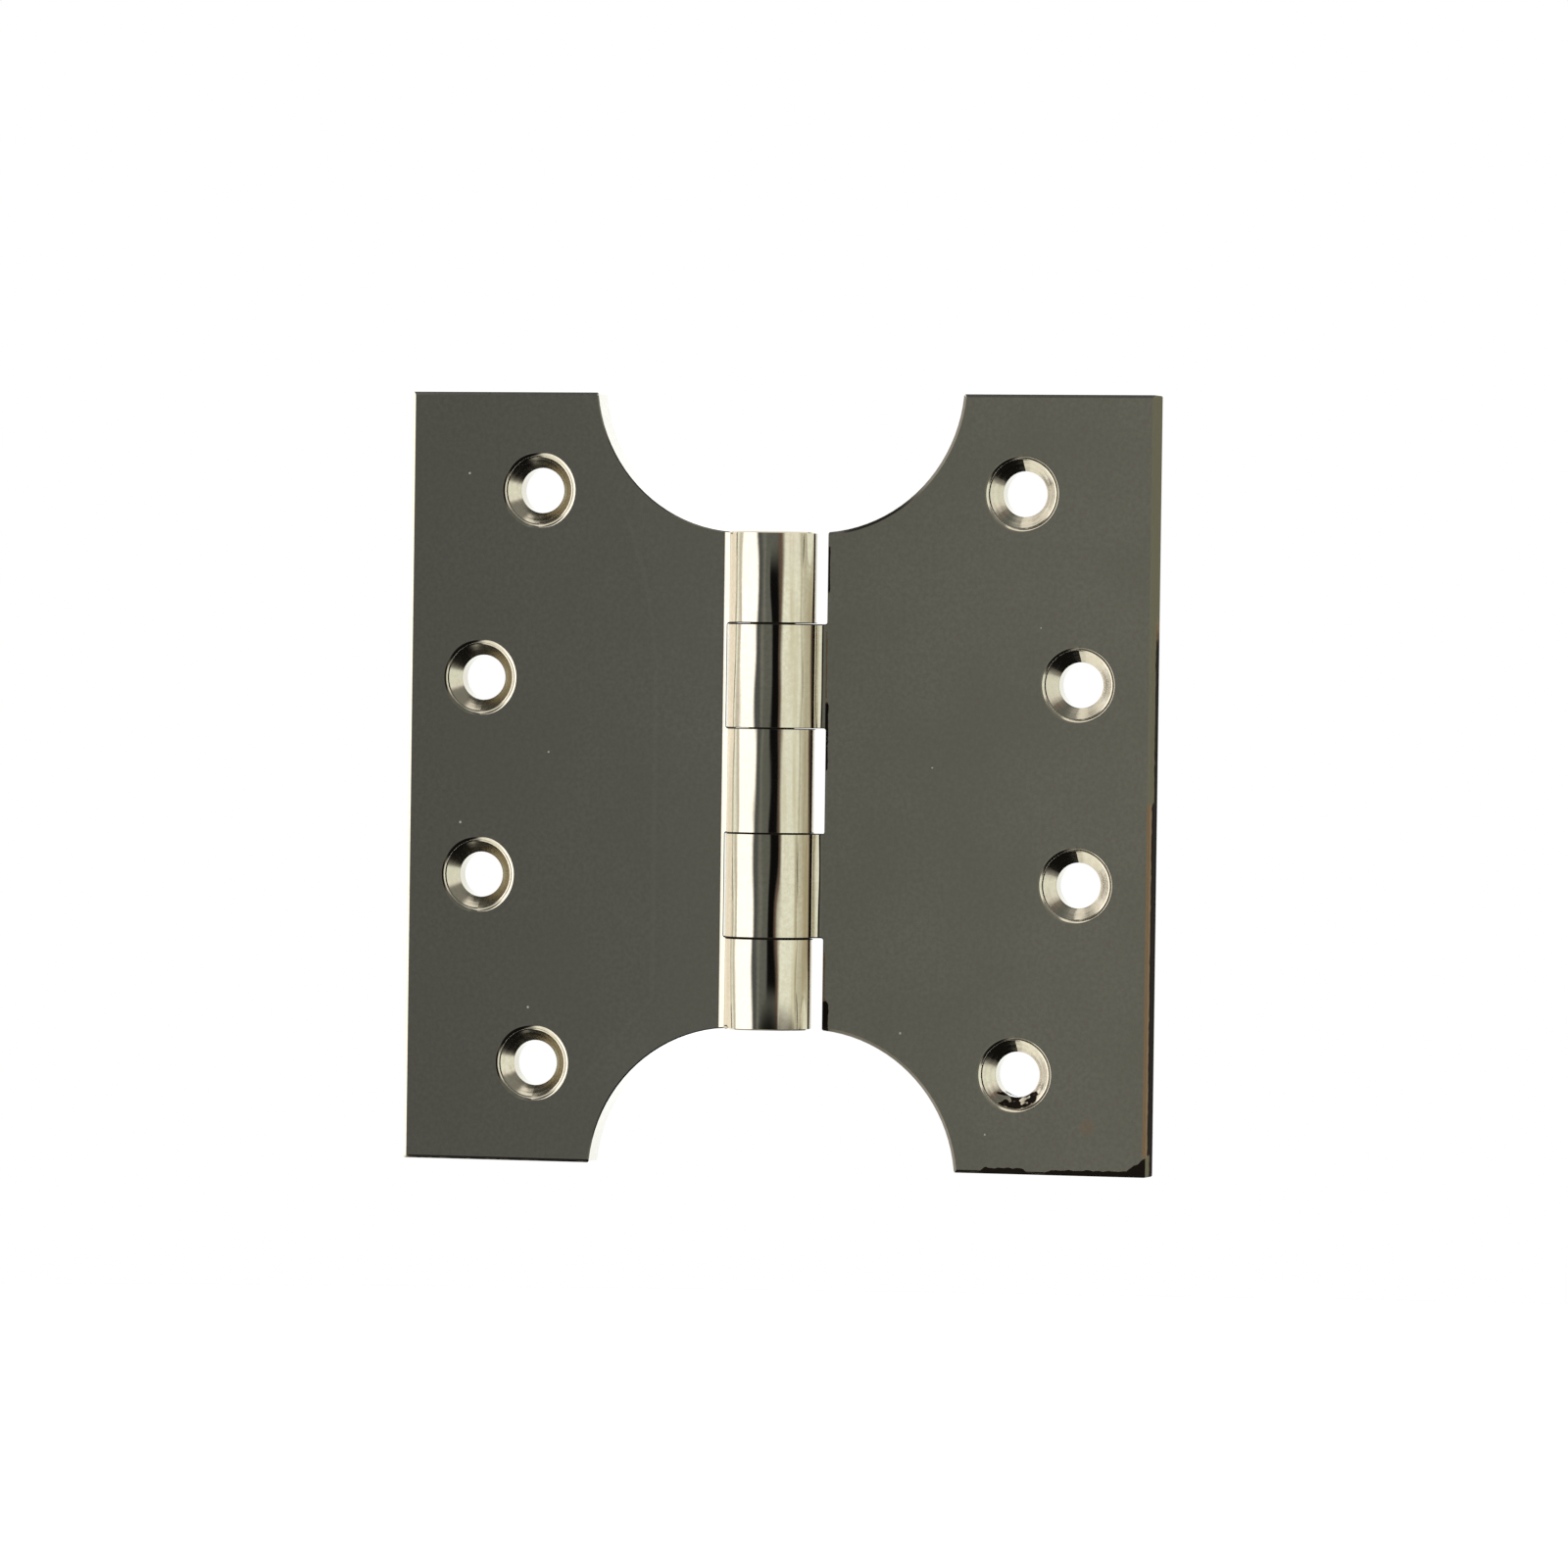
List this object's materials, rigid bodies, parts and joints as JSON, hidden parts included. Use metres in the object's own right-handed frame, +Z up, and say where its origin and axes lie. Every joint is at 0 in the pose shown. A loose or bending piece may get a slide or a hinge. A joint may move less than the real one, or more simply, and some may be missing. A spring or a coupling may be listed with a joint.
{
  "type": "parliament hinge",
  "caption": "Parliament hinge with scalloped H-plan leaves, interleaved knuckles on a fixed pin and countersunk screw holes, polished nickel finish, laid open flat.",
  "frame": {"origin": "on the pin axis at mid-height, which is the centre of the open hinge's box", "axes": "+Z up along the pin, +X from the pin to the door leaf, +Y out of the leaves' flat backs, so the knuckles and countersinks face -Y"},
  "size_m": [0.102, 0.0116, 0.102],
  "materials": {
    "plated_leaf": "polished nickel plate over solid brass",
    "pin_steel": "ground"
  },
  "bodies": {
    "frame": {"frame_leaf": "plated_leaf", "hinge_pin": "pin_steel"},
    "door": {"door_leaf": "plated_leaf"}
  },
  "joints": [
    {"name": "leaf_swing", "type": "hinge", "parent": "frame", "child": "door", "pos_m": [0, 0, 0], "axis": [0, 0, 1], "range_deg": [-180, 95]}
  ]
}
